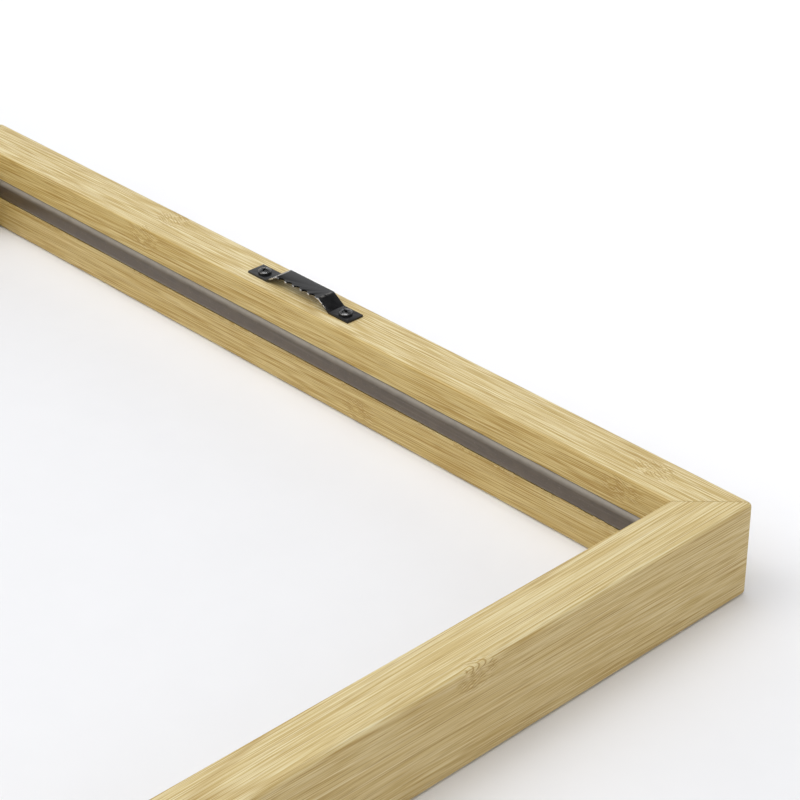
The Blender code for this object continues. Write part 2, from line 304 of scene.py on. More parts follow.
# turns and slopes in degrees, and places in millimetres on a rail that lies as the top one does:
# along, out from the middle, up
railGrain = {
    "top": {"turn": 0, "slope": (0.7, -0.5), "seed": 0.0, "contrast": 0.90, "lift": 0.0, "ragged": 115,
            "knuckles": [(-72, 159, 27), (-70, 170, 30), (145, 168, 30), (141, 159, 26), (34, 159, 5)]},
    "left": {"turn": 90, "slope": (-0.4, -0.4), "seed": 3.1, "contrast": 0.78, "lift": 0.02, "ragged": -60,
             "knuckles": [(60, 168, 24), (-120, 160, 9), (-10, 173, 16)]},
    "bottom": {"turn": 180, "slope": (0.4, 0.3), "seed": 6.7, "contrast": 0.74, "lift": 0.0, "ragged": 30,
               "knuckles": [(95, 165, 27), (-60, 172, 12), (-140, 161, 6)]},
    "right": {"turn": 270, "slope": (0.4, -0.5), "seed": 9.3, "contrast": 0.62, "lift": 0.05, "ragged": -100,
              "knuckles": [(-68, 174, 27), (110, 160, 22), (30, 172, 8)]},
}


def pointOnRail(tree, side):
    return mapped(tree, objectPoint(tree), turn=(0, 0, -math.radians(railGrain[side]["turn"])))


def layOnSide(bm, side):
    turn = Matrix.Rotation(math.radians(railGrain[side]["turn"]), 3, "Z")
    bmesh.ops.rotate(bm, cent=(0, 0, 0), matrix=turn, verts=bm.verts)
    bmesh.ops.recalc_face_normals(bm, faces=bm.faces)
    return bm


def knuckleNearness(tree, onRail, knuckles):
    nearness = 0.0
    for knuckle in knuckles:
        away = vector(tree, "SUBTRACT", onRail, [value * mm for value in knuckle])
        away = vector(tree, "DIVIDE", away, bambooLook["knuckleReach"])
        far = put(tree, "VectorMath", {0: away}, operation="LENGTH").outputs["Value"]
        nearness = calc(tree, "MAXIMUM", nearness, fadeOut(tree, far, 0.0, 1.0, smooth=True))
    return nearness


def strayFibres(tree, onRail, nearness, seed):
    # the fibres wander a little everywhere, on each rail in its own way, and swirl in the knuckles
    start, change = bambooLook["ownPart"]
    ownPart = mapped(tree, onRail, shift=(start + change * seed, 0, 0))
    wander = sideStep(tree, ownPart, *bambooLook["wander"])
    swirl = sideStep(tree, ownPart, *bambooLook["knuckleSwirl"])
    swirl = put(tree, "VectorMath", {0: swirl, "Scale": nearness}, operation="SCALE").outputs[0]
    return vector(tree, "ADD", vector(tree, "ADD", onRail, wander), swirl)


def fibreThreads(tree, along):
    look = bambooLook
    beside = vector(tree, "ADD", along, (0, look["threadStep"], look["threadStep"]))
    here, there = (cloud(tree, point, *look["threads"]) for point in (along, beside))
    return calc(tree, "ADD", calc(tree, "SUBTRACT", here, there), 0.5)


def fibreLines(tree, along, scale, detail, width):
    # thin dark lines where a stretched cloud crosses its middle value, fading in and out along the rail
    off = calc(tree, "ABSOLUTE", calc(tree, "SUBTRACT", cloud(tree, along, scale, detail), 0.5))
    lengthwise, share = bambooLook["lineBreaks"]
    breaks = (lengthwise, share * scale[1], share * scale[2])
    shown = spread(tree, cloud(tree, along, breaks), *bambooLook["lineIn"])
    return product(tree, fadeOut(tree, off, 0.0, width), shown)


def knuckleStrokes(tree, onRail, strayed, nearness):
    # short slanted strokes, broken up
    look = bambooLook
    phase = [math.tau * value for value in look["hatch"]]
    wave = put(tree, "VectorMath", {0: strayed, 1: phase}, operation="DOT_PRODUCT").outputs["Value"]
    stroke = spread(tree, calc(tree, "SINE", wave), *look["strokeIn"])
    broken = spread(tree, cloud(tree, onRail, *look["hatchBreaks"]), *look["hatchIn"])
    return product(tree, stroke, broken, spread(tree, nearness, *look["knuckleIn"]))


def lamellas(tree, along):
    # each lamella has its own tone, with a thin glue line beside it
    size = bambooLook["lamella"]
    cells = vector(tree, "DIVIDE", along, size)
    number = vector(tree, "MULTIPLY", vector(tree, "FLOOR", cells), (0, 1, 1))
    tone = put(tree, "TexWhiteNoise", {"Vector": number}).outputs["Value"]
    inCell = axes(tree, vector(tree, "FRACTION", cells))
    glue = 0.0
    for axis, width in (("Y", size[1]), ("Z", size[2])):
        toEdge = calc(tree, "PINGPONG", inCell[axis], 0.5)
        glue = calc(tree, "MAXIMUM", glue, fadeOut(tree, toEdge, 0.0, bambooLook["glueLine"] / width))
    return tone, glue


def mitreLine(tree, place):
    toMitre = calc(tree, "SUBTRACT", place["Y"], calc(tree, "ABSOLUTE", place["X"]))
    return fadeOut(tree, toMitre, 0.0, bambooLook["mitreLine"] * math.sqrt(2))


def paintFaceShade(tree, colour, place):
    # painted shade on the walls of the opening and on the outer sides
    look = bambooLook
    wallShade = fadeOut(tree, place["Y"], *(railLow.y + depth for depth in look["wallShadeFade"]))
    sideShade = spread(tree, place["Y"], *(railHigh.y - depth for depth in look["sideShadeFade"]))
    for share, tint in ((wallShade, look["wallShadeTint"]), (sideShade, look["sideShadeTint"])):
        tinted = put(tree, "MixRGB", {"Fac": share, 1: colour, 2: (*tint, 1)}, blend_type="MULTIPLY")
        colour = tinted.outputs[0]
    return colour


def bambooMaterial(side):
    grain = railGrain[side]
    look = bambooLook
    material, tree, shader = startMaterial(f"bamboo_{side}")
    onRail = pointOnRail(tree, side)
    place = axes(tree, onRail)
    nearness = knuckleNearness(tree, onRail, grain["knuckles"])
    strayed = strayFibres(tree, onRail, nearness, grain["seed"])
    lean = [math.radians(value) for value in grain["slope"]]
    along = mapped(tree, strayed, turn=(0, *lean), shift=(grain["seed"], 0, 0))

    # the tone of the cane
    thread = fibreThreads(tree, along)
    tone, glue = lamellas(tree, along)
    shares = [(cloud(tree, along, scale), share) for scale, share in look["bands"]]
    shares += [(thread, look["threadShare"]), (tone, look["lamellaShare"])]
    value = 0.5 + grain["lift"]
    for part, share in shares:
        change = product(tree, calc(tree, "SUBTRACT", part, 0.5), share * grain["contrast"])
        value = calc(tree, "ADD", value, change)
    value = calc(tree, "SUBTRACT", value, product(tree, nearness, look["knuckleDim"]))
    colour = ramp(tree, value, look["stops"])

    # dark marks over it
    marks = {
        "line": fibreLines(tree, along, *look["lines"]),
        "fineLine": fibreLines(tree, along, *look["fineLines"]),
        "dash": spread(tree, cloud(tree, along, *look["dashes"]), *look["dashIn"]),
        "stroke": knuckleStrokes(tree, onRail, strayed, nearness),
        "glue": glue,
        "mitre": mitreLine(tree, place),
    }
    dark = total(tree, *(product(tree, mark, look["darkness"][name]) for name, mark in marks.items()))
    dark = calc(tree, "MINIMUM", dark, look["darkest"])
    colour = blendColour(tree, dark, colour, look["lineColour"])
    tree.links.new(paintFaceShade(tree, colour, place), shader.inputs["Base Color"])

    tree.links.new(spread(tree, thread, *mostOfCloud, *look["roughness"]), shader.inputs["Roughness"])
    shader.inputs["Specular IOR Level"].default_value = look["specular"]
    height = calc(tree, "SUBTRACT", thread, product(tree, dark, look["markDepth"]))
    bumps(tree, shader, height, *look["relief"])
    return material


# rails: a ring with its groove, sawn in four on the mitres

stripLow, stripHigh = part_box("top_grip_strip")

grooveRoom = 0.1 * mm   # round the strip

railLook = {
    "inner": railLow.y,
    "outer": railHigh.y,
    "depth": railHigh.z,
    "edgeRound": 1.5 * mm,
    "backLipRound": 0.6 * mm,
    "roundSteps": 7,
    "grooveFront": stripLow.z - grooveRoom,
    "grooveRear": stripHigh.z + grooveRoom,
    "grooveFloor": stripHigh.y + grooveRoom,
    "mitreGap": 0.08 * mm,
    "lengthCuts": 130,
    "lipCuts": 5,
    "lipReach": 1.5 * mm,   # how far below the groove its torn lip begins
    "chip": 0.15 * mm,   # thickness of the torn fibres
    "tearWaves": [(0.07, 0.5, 0.30), (0.42, 4.5, 0.75), (1.5, 8.5, 0.55)],   # pitch per millimetre
    "tear": 1.9 * mm,
    "longestTear": 1.25 * mm,
    "calm": 0.35,   # how torn the lip is away from its ragged stretch
    "raggedReach": 45,   # millimetres
    # a torn fibre stands up and leans into the opening, and the lip itself is worn a little
    "standsUp": 0.78,
    "leansIn": 0.62,
    "lipWorn": 0.03 * mm,
    "lipProud": 0.04 * mm,
}


def openingFaces(bm):
    def onWall(vert):
        return abs(max(abs(vert.co.x), abs(vert.co.y)) - railLook["inner"]) < hair
    return [face for face in bm.faces if all(onWall(vert) for vert in face.verts)]


def openingEdges(bm, height):
    walls = openingFaces(bm)
    edges = dict.fromkeys(edge for face in walls for edge in face.edges)
    return [edge for edge in edges if all(abs(vert.co.z - height) < hair for vert in edge.verts)]


def pushOut(bm, faces, distance):
    verts = newVerts(bmesh.ops.extrude_face_region(bm, geom=faces))
    bmesh.ops.delete(bm, geom=faces, context="FACES_ONLY")
    reach = max(abs(verts[0].co.x), abs(verts[0].co.y))
    grow = (reach + distance) / reach
    bmesh.ops.scale(bm, vec=(grow, grow, 1), verts=verts)
    return [face for face in bm.faces if all(vert in verts for vert in face.verts)]


def frameRing():
    look = railLook
    bm = bmesh.new()
    size = Matrix.Diagonal((2 * look["outer"], 2 * look["outer"], look["depth"], 1))
    bmesh.ops.create_cube(bm, size=1, matrix=Matrix.Translation((0, 0, look["depth"] / 2)) @ size)
    outerEdges = bm.edges[:]
    caps = [face for face in bm.faces if abs(face.normal.z) > 0.5]
    bmesh.ops.inset_individual(bm, faces=caps, thickness=look["outer"] - look["inner"],
                               use_even_offset=True)
    rims = [edge for face in caps for edge in face.edges]
    bmesh.ops.delete(bm, geom=caps, context="FACES_ONLY")
    bmesh.ops.bridge_loops(bm, edges=rims)

    for height in (look["grooveFront"] - look["lipReach"], look["grooveFront"], look["grooveRear"]):
        walls = openingFaces(bm)
        edges = list(dict.fromkeys(edge for face in walls for edge in face.edges))
        verts = list(dict.fromkeys(vert for face in walls for vert in face.verts))
        bmesh.ops.bisect_plane(bm, geom=verts + edges + walls, plane_co=(0, 0, height), plane_no=(0, 0, 1))
    band = [face for face in openingFaces(bm)
            if look["grooveFront"] < face.calc_center_median().z < look["grooveRear"]]
    band = pushOut(bm, band, look["chip"])
    pushOut(bm, band, look["grooveFloor"] - look["inner"] - look["chip"])

    softenEdges(bm, outerEdges + openingEdges(bm, 0), look["edgeRound"], look["roundSteps"])
    softenEdges(bm, openingEdges(bm, look["depth"]), look["backLipRound"], look["roundSteps"])
    return bm


def tearLip(bm, seed, ragged):
    look = railLook
    front, inner = look["grooveFront"], look["inner"]

    def nearLip(vert):
        across = vert.co.y - inner
        below = front - vert.co.z
        return -hair < across < look["chip"] + hair and -hair < below < look["lipReach"] + hair

    # closer points on the lip, so that the torn fibres have an edge
    edges = [edge for edge in longEdges(bm, 0) if all(nearLip(vert) for vert in edge.verts)]
    bmesh.ops.subdivide_edges(bm, edges=edges, cuts=look["lipCuts"])
    for vert in bm.verts:
        if abs(vert.co.y - inner) < hair and abs(vert.co.z - front) < hair:
            x = vert.co.x / mm
            rough = look["calm"] + math.exp(-((x - ragged) / look["raggedReach"]) ** 2)
            torn = max(0.0, roughWave(look["tearWaves"], x, seed)) * rough * look["tear"]
            torn = min(torn, look["longestTear"])
            vert.co.z += look["standsUp"] * torn - look["lipWorn"]
            vert.co.y -= look["leansIn"] * torn + look["lipProud"]


def railMesh(side):
    look = railLook
    bm = frameRing()
    for sign in (-1, 1):
        outward = Vector((sign, -1, 0)).normalized()
        everything = bm.verts[:] + bm.edges[:] + bm.faces[:]
        sawn = bmesh.ops.bisect_plane(bm, geom=everything, plane_co=-outward * look["mitreGap"] / 2,
                                      plane_no=outward, clear_outer=True)
        rim = [item for item in sawn["geom_cut"] if isinstance(item, bmesh.types.BMEdge)]
        bmesh.ops.holes_fill(bm, edges=rim)
    lengthwise = longEdges(bm, fullLength)
    bmesh.ops.subdivide_edges(bm, edges=lengthwise, cuts=look["lengthCuts"], use_grid_fill=True)
    tearLip(bm, railGrain[side]["seed"], railGrain[side]["ragged"])
    return layOnSide(bm, side)


dowelHole = {"radius": 2.65 * mm, "length": 15.3 * mm}
screwHole = {"radius": 1.2 * mm, "below": 0.2 * mm, "above": 1 * mm}


def dowelCutter(node):
    low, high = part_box(node)
    middle = (low + high) / 2
    axis = Vector((-middle.y, middle.x, 0)).normalized()
    return rod("dowelCutter", dowelHole["radius"], dowelHole["length"], middle, axis)


def screwCutter(node):
    low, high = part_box(node)
    top, bottom = high.z + screwHole["above"], low.z - screwHole["below"]
    middle = Vector((*(low + high).xy, top + bottom)) / 2
    return rod("screwCutter", screwHole["radius"], top - bottom, middle, up)


for side in railGrain:
    rail = meshObject(railMesh(side), f"{side}_rail_bamboo")
    dowels = [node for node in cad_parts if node.endswith("_dowel") and side in node.split("_")]
    cutters = [dowelCutter(node) for node in dowels]
    if side == "top":
        cutters += [screwCutter(f"{hand}_hanger_screw") for hand in hands]
    cutAway(rail, cutters)
    applyAll(rail)
    throwAway(cutters)
    dress(rail, bambooMaterial(side), f"{side}_rail")
print("rails sawn, grooved and drilled")


# rubber grip strips, with a bevel above and below the face that holds the sleeve

stripLook = {
    "shoulder": 1.4 * mm,
    "rounding": 0.72 * mm,
    "roundSteps": 5,
    "endGap": 0.2 * mm,
    "lengthCuts": 150,
    "waves": [(45, 1.5, 1.0), (190, 2.5, 0.4)],   # pitch per metre
    "waviness": 0.07 * mm,
    "colour": (0.090, 0.064, 0.040),
    "worn": (0.066, 0.046, 0.028),
    "dust": (0.20, 0.175, 0.145),
    # dust and painted sheen: the upper bevel faces up, so it is made lighter
    "dustAndSheen": (0.25, 0.223, 0.184),   # on the upper bevel
    # clouds: cycles per metre of each axis, and detail
    "drawn": ((25, 900, 900), 2.0),
    "mottle": ((240, 420, 420), 3.0),
    "specks": ((1500, 2200, 2200), 1.0),
    # the values between which each mark comes in, and what it then changes between
    "wornIn": (0.35, 0.68),
    "drawnIn": (0.5, 0.75, 0.0, 0.18),
    "speckIn": (0.66, 0.76, 0.0, 0.35),
    "dustAndSheenIn": (0.12, 0.62),
    "patchIn": (0.25, 0.6, 0.75, 1.0),
    "roughness": (0.33, 0.45),
    "specular": 0.6,
    "speckDepth": 0.5,
    "relief": (0.05 * mm, 0.5),
}


def stripMesh(side):
    look = stripLook
    inner = railLook["inner"]
    bm = bmesh.new()
    section = [
        (stripHigh.y, stripLow.z),
        (inner, stripLow.z),
        (stripLow.y, stripLow.z + look["shoulder"]),
        (stripLow.y, stripHigh.z - look["shoulder"]),
        (inner, stripHigh.z),
        (stripHigh.y, stripHigh.z),
    ]
    for y, z in section:
        bm.verts.new((look["endGap"] - y, y, z))
    bm.faces.new(bm.verts[:])
    far = newVerts(bmesh.ops.extrude_face_region(bm, geom=bm.faces[:]))
    for vert in far:
        vert.co.x = -vert.co.x
    front = [edge for edge in longEdges(bm, fullLength) if edge.verts[0].co.y < inner + hair]
    softenEdges(bm, front, look["rounding"], look["roundSteps"])
    lengthwise = longEdges(bm, fullLength)
    bmesh.ops.subdivide_edges(bm, edges=lengthwise, cuts=look["lengthCuts"], use_grid_fill=True)
    for vert in bm.verts:
        proud = max(0.0, inner - vert.co.y) / (inner - stripLow.y)
        wave = roughWave(look["waves"], vert.co.x, railGrain[side]["seed"])
        vert.co.y += proud * abs(wave) * look["waviness"]
    return layOnSide(bm, side)


def rubberMaterial(side):
    look = stripLook
    material, tree, shader = startMaterial(f"grip_rubber_{side}")
    onRail = pointOnRail(tree, side)
    drawn = cloud(tree, onRail, *look["drawn"])
    mottle = cloud(tree, onRail, *look["mottle"])
    speck = cloud(tree, onRail, *look["specks"])
    colour = blendColour(tree, spread(tree, mottle, *look["wornIn"]), look["worn"], look["colour"])
    streaked = spread(tree, drawn, *look["drawnIn"])
    colour = blendColour(tree, streaked, colour, look["dust"])
    dusted = spread(tree, speck, *look["speckIn"])
    colour = blendColour(tree, dusted, colour, look["dust"])
    # dust and painted sheen: where the strip faces up it is made lighter, in patches
    patchy = spread(tree, mottle, *look["patchIn"])
    dustAndSheenShare = product(tree, spread(tree, facingUp(tree), *look["dustAndSheenIn"]), patchy)
    colour = blendColour(tree, dustAndSheenShare, colour, look["dustAndSheen"])
    tree.links.new(colour, shader.inputs["Base Color"])
    tree.links.new(spread(tree, mottle, *mostOfCloud, *look["roughness"]), shader.inputs["Roughness"])
    shader.inputs["Specular IOR Level"].default_value = look["specular"]
    height = calc(tree, "ADD", drawn, product(tree, speck, look["speckDepth"]))
    bumps(tree, shader, height, *look["relief"])
    return material


for side in railGrain:
    strip = meshObject(stripMesh(side), f"{side}_grip_strip_rubber")
    dress(strip, rubberMaterial(side), f"{side}_grip_strip")
print("grip strips laid in the groove")


# sawtooth hanger, bent from a punched strip of steel

hangerLow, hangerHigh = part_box("sawtooth_hanger")

hangerLook = {
    "thickness": 0.55 * mm,
    "foot": 8.9 * mm,
    "legRun": 4.8 * mm,
    "bend": 0.2 * mm,
    "bendSteps": 9,
    "corner": 0.2 * mm,
    "cornerSteps": 5,
    "edge": 0.03 * mm,   # crisp punched edge
    "edgeSteps": 3,
    "notches": 5,
    "notchPitch": 3.6 * mm,
    "notchRadius": 1.5 * mm,
    "notchDepth": 0.9 * mm,
    "notchSteps": 48,
    "holeRadius": 1.2 * mm,
    "punchLength": 4 * mm,
    "paint": (0.0045, 0.0045, 0.005),
    "paintWorn": (0.010, 0.010, 0.011),
    "bareSteel": (0.62, 0.60, 0.58),
    # painted shade for the walls of the notches, a near-black mirror
    "paintedNotchShade": (0.006, 0.006, 0.006),
    # clouds: cycles per metre of each axis, and detail
    "peel": ((900, 900, 900), 2.0),
    "rubbed": ((260, 500, 500), 3.0),
    "chips": ((700, 700, 700), 2.0),
    # the values between which each kind of wear comes in
    "rubbedIn": (0.4, 0.7),
    "bareIn": (0.38, 0.50),
    "bendLineIn": (0.36, 0.56),
    "uprightFace": 0.5,   # an upright face's normal rises less than this
    "raised": (1.2 * mm, 2.0 * mm),   # the bridge, above the feet
    "bareEdge": (0.03 * mm, 0.09 * mm),   # how far the bare steel of the toothed edge reaches
    "bendLine": (0.2 * mm, 0.5 * mm),
    "bendLineOut": 0.1 * mm,   # from the corner of the bend
    "bendLineShare": (0.9, 0.18),   # on the left and on the right
    "bendLineChange": 5 * mm,
    "wallFrom": (0.09 * mm, 0.14 * mm),   # the walls of the notches, in from the toothed edge
    "wallTo": 1.2 * mm,
    "roughness": (0.17, 0.24),
    "specular": 0.45,
    "relief": (0.03 * mm, 0.35),
}


def hangerStations():
    # how far from its middle the strip ends, and has its lower and upper bends
    end = (hangerHigh.x - hangerLow.x) / 2
    knee = end - hangerLook["foot"]
    return end, knee, knee - hangerLook["legRun"]


def arcAround(corner, before, after, radius, steps):
    come = (corner - before).normalized()
    leave = (after - corner).normalized()
    turn = -come.angle_signed(leave)
    side = 1 if turn > 0 else -1
    spoke = Vector((come.y, -come.x)) * radius * side
    centre = corner - come * radius * math.tan(abs(turn) / 2) - spoke
    return [centre + Matrix.Rotation(turn * step / steps, 2) @ spoke for step in range(steps + 1)]


def hangerMesh():
    look = hangerLook
    end, knee, shoulder = hangerStations()
    floor = hangerLow.z
    bridge = hangerHigh.z - look["thickness"]
    wide = look["bend"] + look["thickness"]
    corners = [Vector(point) for point in ((-end, floor), (-knee, floor), (-shoulder, bridge),
                                           (shoulder, bridge), (knee, floor), (end, floor))]
    path = [corners[0]]
    for index, radius in enumerate((wide, look["bend"], look["bend"], wide)):
        path += arcAround(corners[index + 1], corners[index], corners[index + 2], radius, look["bendSteps"])
    path.append(corners[-1])
    bm = bmesh.new()
    verts = [bm.verts.new((point.x, hangerLow.y, point.y)) for point in path]
    edges = [bm.edges.new(pair) for pair in zip(verts, verts[1:])]
    far = newVerts(bmesh.ops.extrude_edge_only(bm, edges=edges))
    bmesh.ops.translate(bm, vec=(0, hangerHigh.y - hangerLow.y, 0), verts=far)
    bm.normal_update()
    bmesh.ops.reverse_faces(bm, faces=[face for face in bm.faces if face.normal.z < 0])
    tips = [vert for vert in bm.verts if abs(abs(vert.co.x) - end) < hair]
    bmesh.ops.bevel(bm, geom=tips, offset=look["corner"], offset_type="OFFSET",
                    segments=look["cornerSteps"], profile=0.5, affect="VERTICES", material=-1)
    return bm


def steelMaterial():
    look = hangerLook
    material, tree, shader = startMaterial("black_painted_steel_satin")
    point = objectPoint(tree)
    peel = cloud(tree, point, *look["peel"])
    rubbed = cloud(tree, point, *look["rubbed"])
    chips = cloud(tree, point, *look["chips"])
    place = axes(tree, point)
    fromTeeth = calc(tree, "SUBTRACT", place["Y"], hangerLow.y)
    raised = spread(tree, calc(tree, "SUBTRACT", place["Z"], hangerLow.z), *look["raised"])

    # paint is thin on the toothed edge, and rubbed through in places
    toothed = fadeOut(tree, fromTeeth, *look["bareEdge"])
    bare = product(tree, toothed, raised, spread(tree, chips, *look["bareIn"]))

    # and a light line shows along the upper bends, most on the left
    shoulder = hangerStations()[-1]
    lineAt = shoulder + look["bendLineOut"]
    fromBend = calc(tree, "ABSOLUTE", calc(tree, "SUBTRACT", calc(tree, "ABSOLUTE", place["X"]), lineAt))
    change = look["bendLineChange"]
    share = spread(tree, place["X"], -change, change, *look["bendLineShare"])
    thin = spread(tree, chips, *look["bendLineIn"])
    bendLine = product(tree, fadeOut(tree, fromBend, *look["bendLine"]), thin, share, raised)
    bare = calc(tree, "MAXIMUM", bare, bendLine)

    # painted shade: the walls of the notches are made a near-black mirror, for the shade that falls in them
    upright = calc(tree, "LESS_THAN", calc(tree, "ABSOLUTE", facingUp(tree)), look["uprightFace"])
    near = calc(tree, "LESS_THAN", fromTeeth, look["wallTo"])
    paintedShadeInNotch = product(tree, upright, spread(tree, fromTeeth, *look["wallFrom"]), near, raised)

    colour = blendColour(tree, spread(tree, rubbed, *look["rubbedIn"]), look["paint"], look["paintWorn"])
    colour = blendColour(tree, bare, colour, look["bareSteel"])
    tree.links.new(blendColour(tree, paintedShadeInNotch, colour, look["paintedNotchShade"]), shader.inputs["Base Color"])
    tree.links.new(calc(tree, "MAXIMUM", bare, paintedShadeInNotch), shader.inputs["Metallic"])
    tree.links.new(spread(tree, rubbed, *mostOfCloud, *look["roughness"]), shader.inputs["Roughness"])
    shader.inputs["Specular IOR Level"].default_value = look["specular"]
    bumps(tree, shader, peel, *look["relief"])
    return material


def makeHanger():
    look = hangerLook
    hanger = meshObject(hangerMesh(), "sawtooth_hanger_steel")
    sheet = hanger.modifiers.new("sheet", "SOLIDIFY")
    sheet.thickness = look["thickness"]
    sheet.offset = 1
    sheet.use_even_offset = True
    cutters = []
    for number in range(look["notches"]):
        x = (number - (look["notches"] - 1) / 2) * look["notchPitch"]
        place = Vector((x, hangerLow.y + look["notchDepth"] - look["notchRadius"], hangerHigh.z))
        cutters.append(rod("notchCutter", look["notchRadius"], look["punchLength"], place, up,
                           look["notchSteps"]))
    for hand in hands:
        low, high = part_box(f"{hand}_hanger_screw")
        place = Vector((*(low + high).xy / 2, hangerLow.z))
        cutters.append(rod("holeCutter", look["holeRadius"], look["punchLength"], place, up))
    cutAway(hanger, cutters)
    softenMetal(hanger, look["edge"], look["edgeSteps"])
    applyAll(hanger, metalAngle)
    throwAway(cutters)
    dress(hanger, steelMaterial(), "sawtooth_hanger")


makeHanger()
print("hanger bent and notched")


# pan-head screws with a driver's cross

screwLook = {
    "head": 2.2 * mm,
    "headHeight": 1.2 * mm,
    "rim": 0.6 * mm,
    "shank": 1.0 * mm,
    "point": 2.5 * mm,
    "domeSteps": 8,
    "steps": 56,
    "edge": 0.14 * mm,
    "edgeSteps": 2,
    "crossSpan": 3.0 * mm,
    "crossSlot": 0.9 * mm,
    "crossDepth": 0.9 * mm,
    "crossTaper": 0.55,
    "cutterFlare": 1.2,   # the cutter runs on above the head
    "cutterRise": 1.4,
    "turns": {"left": 20, "right": 64},   # how the crosses came to rest, in degrees
    "zinc": (0.11, 0.11, 0.112),
    "zincWorn": (0.24, 0.24, 0.24),
    # painted shade down in the driver's cross
    "recess": (0.006, 0.006, 0.006),
    "recessFrom": (0.10 * mm, 0.35 * mm),   # below the dome
    "recessReach": 0.75,   # as a share of the head
    # clouds: cycles per metre of each axis, and detail
    "dull": ((1500, 1500, 1500), 3.0),
    "scuffs": ((3500, 900, 900), 2.0),
    "scuffIn": (0.5, 0.72),   # the values between which scuffs come in
    "metallic": 0.85,
    "roughness": (0.18, 0.30),
    "relief": (0.02 * mm, 0.4),
}


def screwMesh(hand):
    look = screwLook
    low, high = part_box(f"{hand}_hanger_screw")
    seat = high.z - look["headHeight"]
    crown = look["headHeight"] - look["rim"]
    dome = (look["head"] ** 2 + crown ** 2) / (2 * crown)
    sweep = math.atan2(look["head"], dome - crown)
    profile = []
    for step in range(look["domeSteps"] + 1):
        angle = sweep * step / look["domeSteps"]
        profile.append((dome * math.sin(angle), high.z - dome * (1 - math.cos(angle))))
    profile += [(look["head"], seat), (look["shank"], seat)]
    profile += [(look["shank"], low.z + look["point"]), (0, low.z)]
    bm = bmesh.new()
    verts = [bm.verts.new((x, 0, z)) for x, z in profile]
    edges = [bm.edges.new(pair) for pair in zip(verts, verts[1:])]
    bmesh.ops.spin(bm, geom=verts + edges, cent=(0, 0, 0), axis=(0, 0, 1), angle=2 * math.pi,
                   steps=look["steps"], use_merge=True)
    bmesh.ops.remove_doubles(bm, verts=bm.verts[:], dist=0.1 * hair)
    bmesh.ops.translate(bm, vec=(*(low + high).xy / 2, 0), verts=bm.verts)
    bmesh.ops.recalc_face_normals(bm, faces=bm.faces)
    return bm


def crossCutter(hand):
    look = screwLook
    low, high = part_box(f"{hand}_hanger_screw")
    arm, side = look["crossSpan"] / 2, look["crossSlot"] / 2
    bm = bmesh.new()
    for quarter in range(4):
        for x, y in ((side, arm), (-side, arm), (-side, side)):
            bm.verts.new(Matrix.Rotation(quarter * math.pi / 2, 3, "Z") @ Vector((x, y, 0)))
    bm.faces.new(bm.verts[:])
    above = newVerts(bmesh.ops.extrude_face_region(bm, geom=bm.faces[:]))
    grow = look["cutterFlare"] / look["crossTaper"]
    bmesh.ops.scale(bm, vec=(look["crossTaper"], look["crossTaper"], 1), verts=bm.verts[:])
    bmesh.ops.scale(bm, vec=(grow, grow, 1), verts=above)
    bmesh.ops.translate(bm, vec=(0, 0, look["crossDepth"] * look["cutterRise"]), verts=above)
    place = Vector((*(low + high).xy / 2, high.z - look["crossDepth"]))
    turned = Matrix.Rotation(math.radians(look["turns"][hand]), 4, "Z")
    bmesh.ops.transform(bm, matrix=Matrix.Translation(place) @ turned, verts=bm.verts)
    bmesh.ops.recalc_face_normals(bm, faces=bm.faces)
    return meshObject(bm, "crossCutter")


def zincMaterial():
    look = screwLook
    material, tree, shader = startMaterial("black_zinc_screw")
    point = objectPoint(tree)
    dull = cloud(tree, point, *look["dull"])
    scuff = cloud(tree, point, *look["scuffs"])
    colour = blendColour(tree, spread(tree, scuff, *look["scuffIn"]), look["zinc"], look["zincWorn"])

    # painted shade: the faces sunk below the dome, down in the driver's cross, are made near black, at the
    # same place in both heads
    low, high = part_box("right_hanger_screw")
    middle = (low + high) / 2
    fall = (look["headHeight"] - look["rim"]) / look["head"] ** 2
    place = axes(tree, point)
    aside = calc(tree, "SUBTRACT", calc(tree, "ABSOLUTE", place["X"]), middle.x)
    ahead = calc(tree, "SUBTRACT", place["Y"], middle.y)
    outSquared = calc(tree, "ADD", product(tree, aside, aside), product(tree, ahead, ahead))
    dome = calc(tree, "SUBTRACT", high.z, product(tree, outSquared, fall))
    sunk = spread(tree, calc(tree, "SUBTRACT", dome, place["Z"]), *look["recessFrom"])
    inHead = calc(tree, "LESS_THAN", outSquared, (look["recessReach"] * look["head"]) ** 2)
    colour = blendColour(tree, product(tree, sunk, inHead), colour, look["recess"])
    tree.links.new(colour, shader.inputs["Base Color"])
    shader.inputs["Metallic"].default_value = look["metallic"]
    tree.links.new(spread(tree, dull, *mostOfCloud, *look["roughness"]), shader.inputs["Roughness"])
    bumps(tree, shader, dull, *look["relief"])
    return material


zinc = zincMaterial()
for hand in hands:
    screw = meshObject(screwMesh(hand), f"{hand}_hanger_screw_zinc")
    cutter = crossCutter(hand)
    cutAway(screw, [cutter])
    softenMetal(screw, screwLook["edge"], screwLook["edgeSteps"])
    applyAll(screw, metalAngle)
    throwAway([cutter])
    dress(screw, zinc, f"{hand}_hanger_screw")
print("hanger screwed down")


# dowels keep their solids, with a beech finish

beechLook = {
    "pale": (0.66, 0.47, 0.30),
    "dark": (0.46, 0.29, 0.16),
    "rays": ((700, 700, 2600), 3.0),   # cycles per metre of each axis, and detail
    "paleIn": (0.35, 0.65),
    "roughness": (0.55, 0.7),
    "relief": (0.08 * mm, 0.5),
}


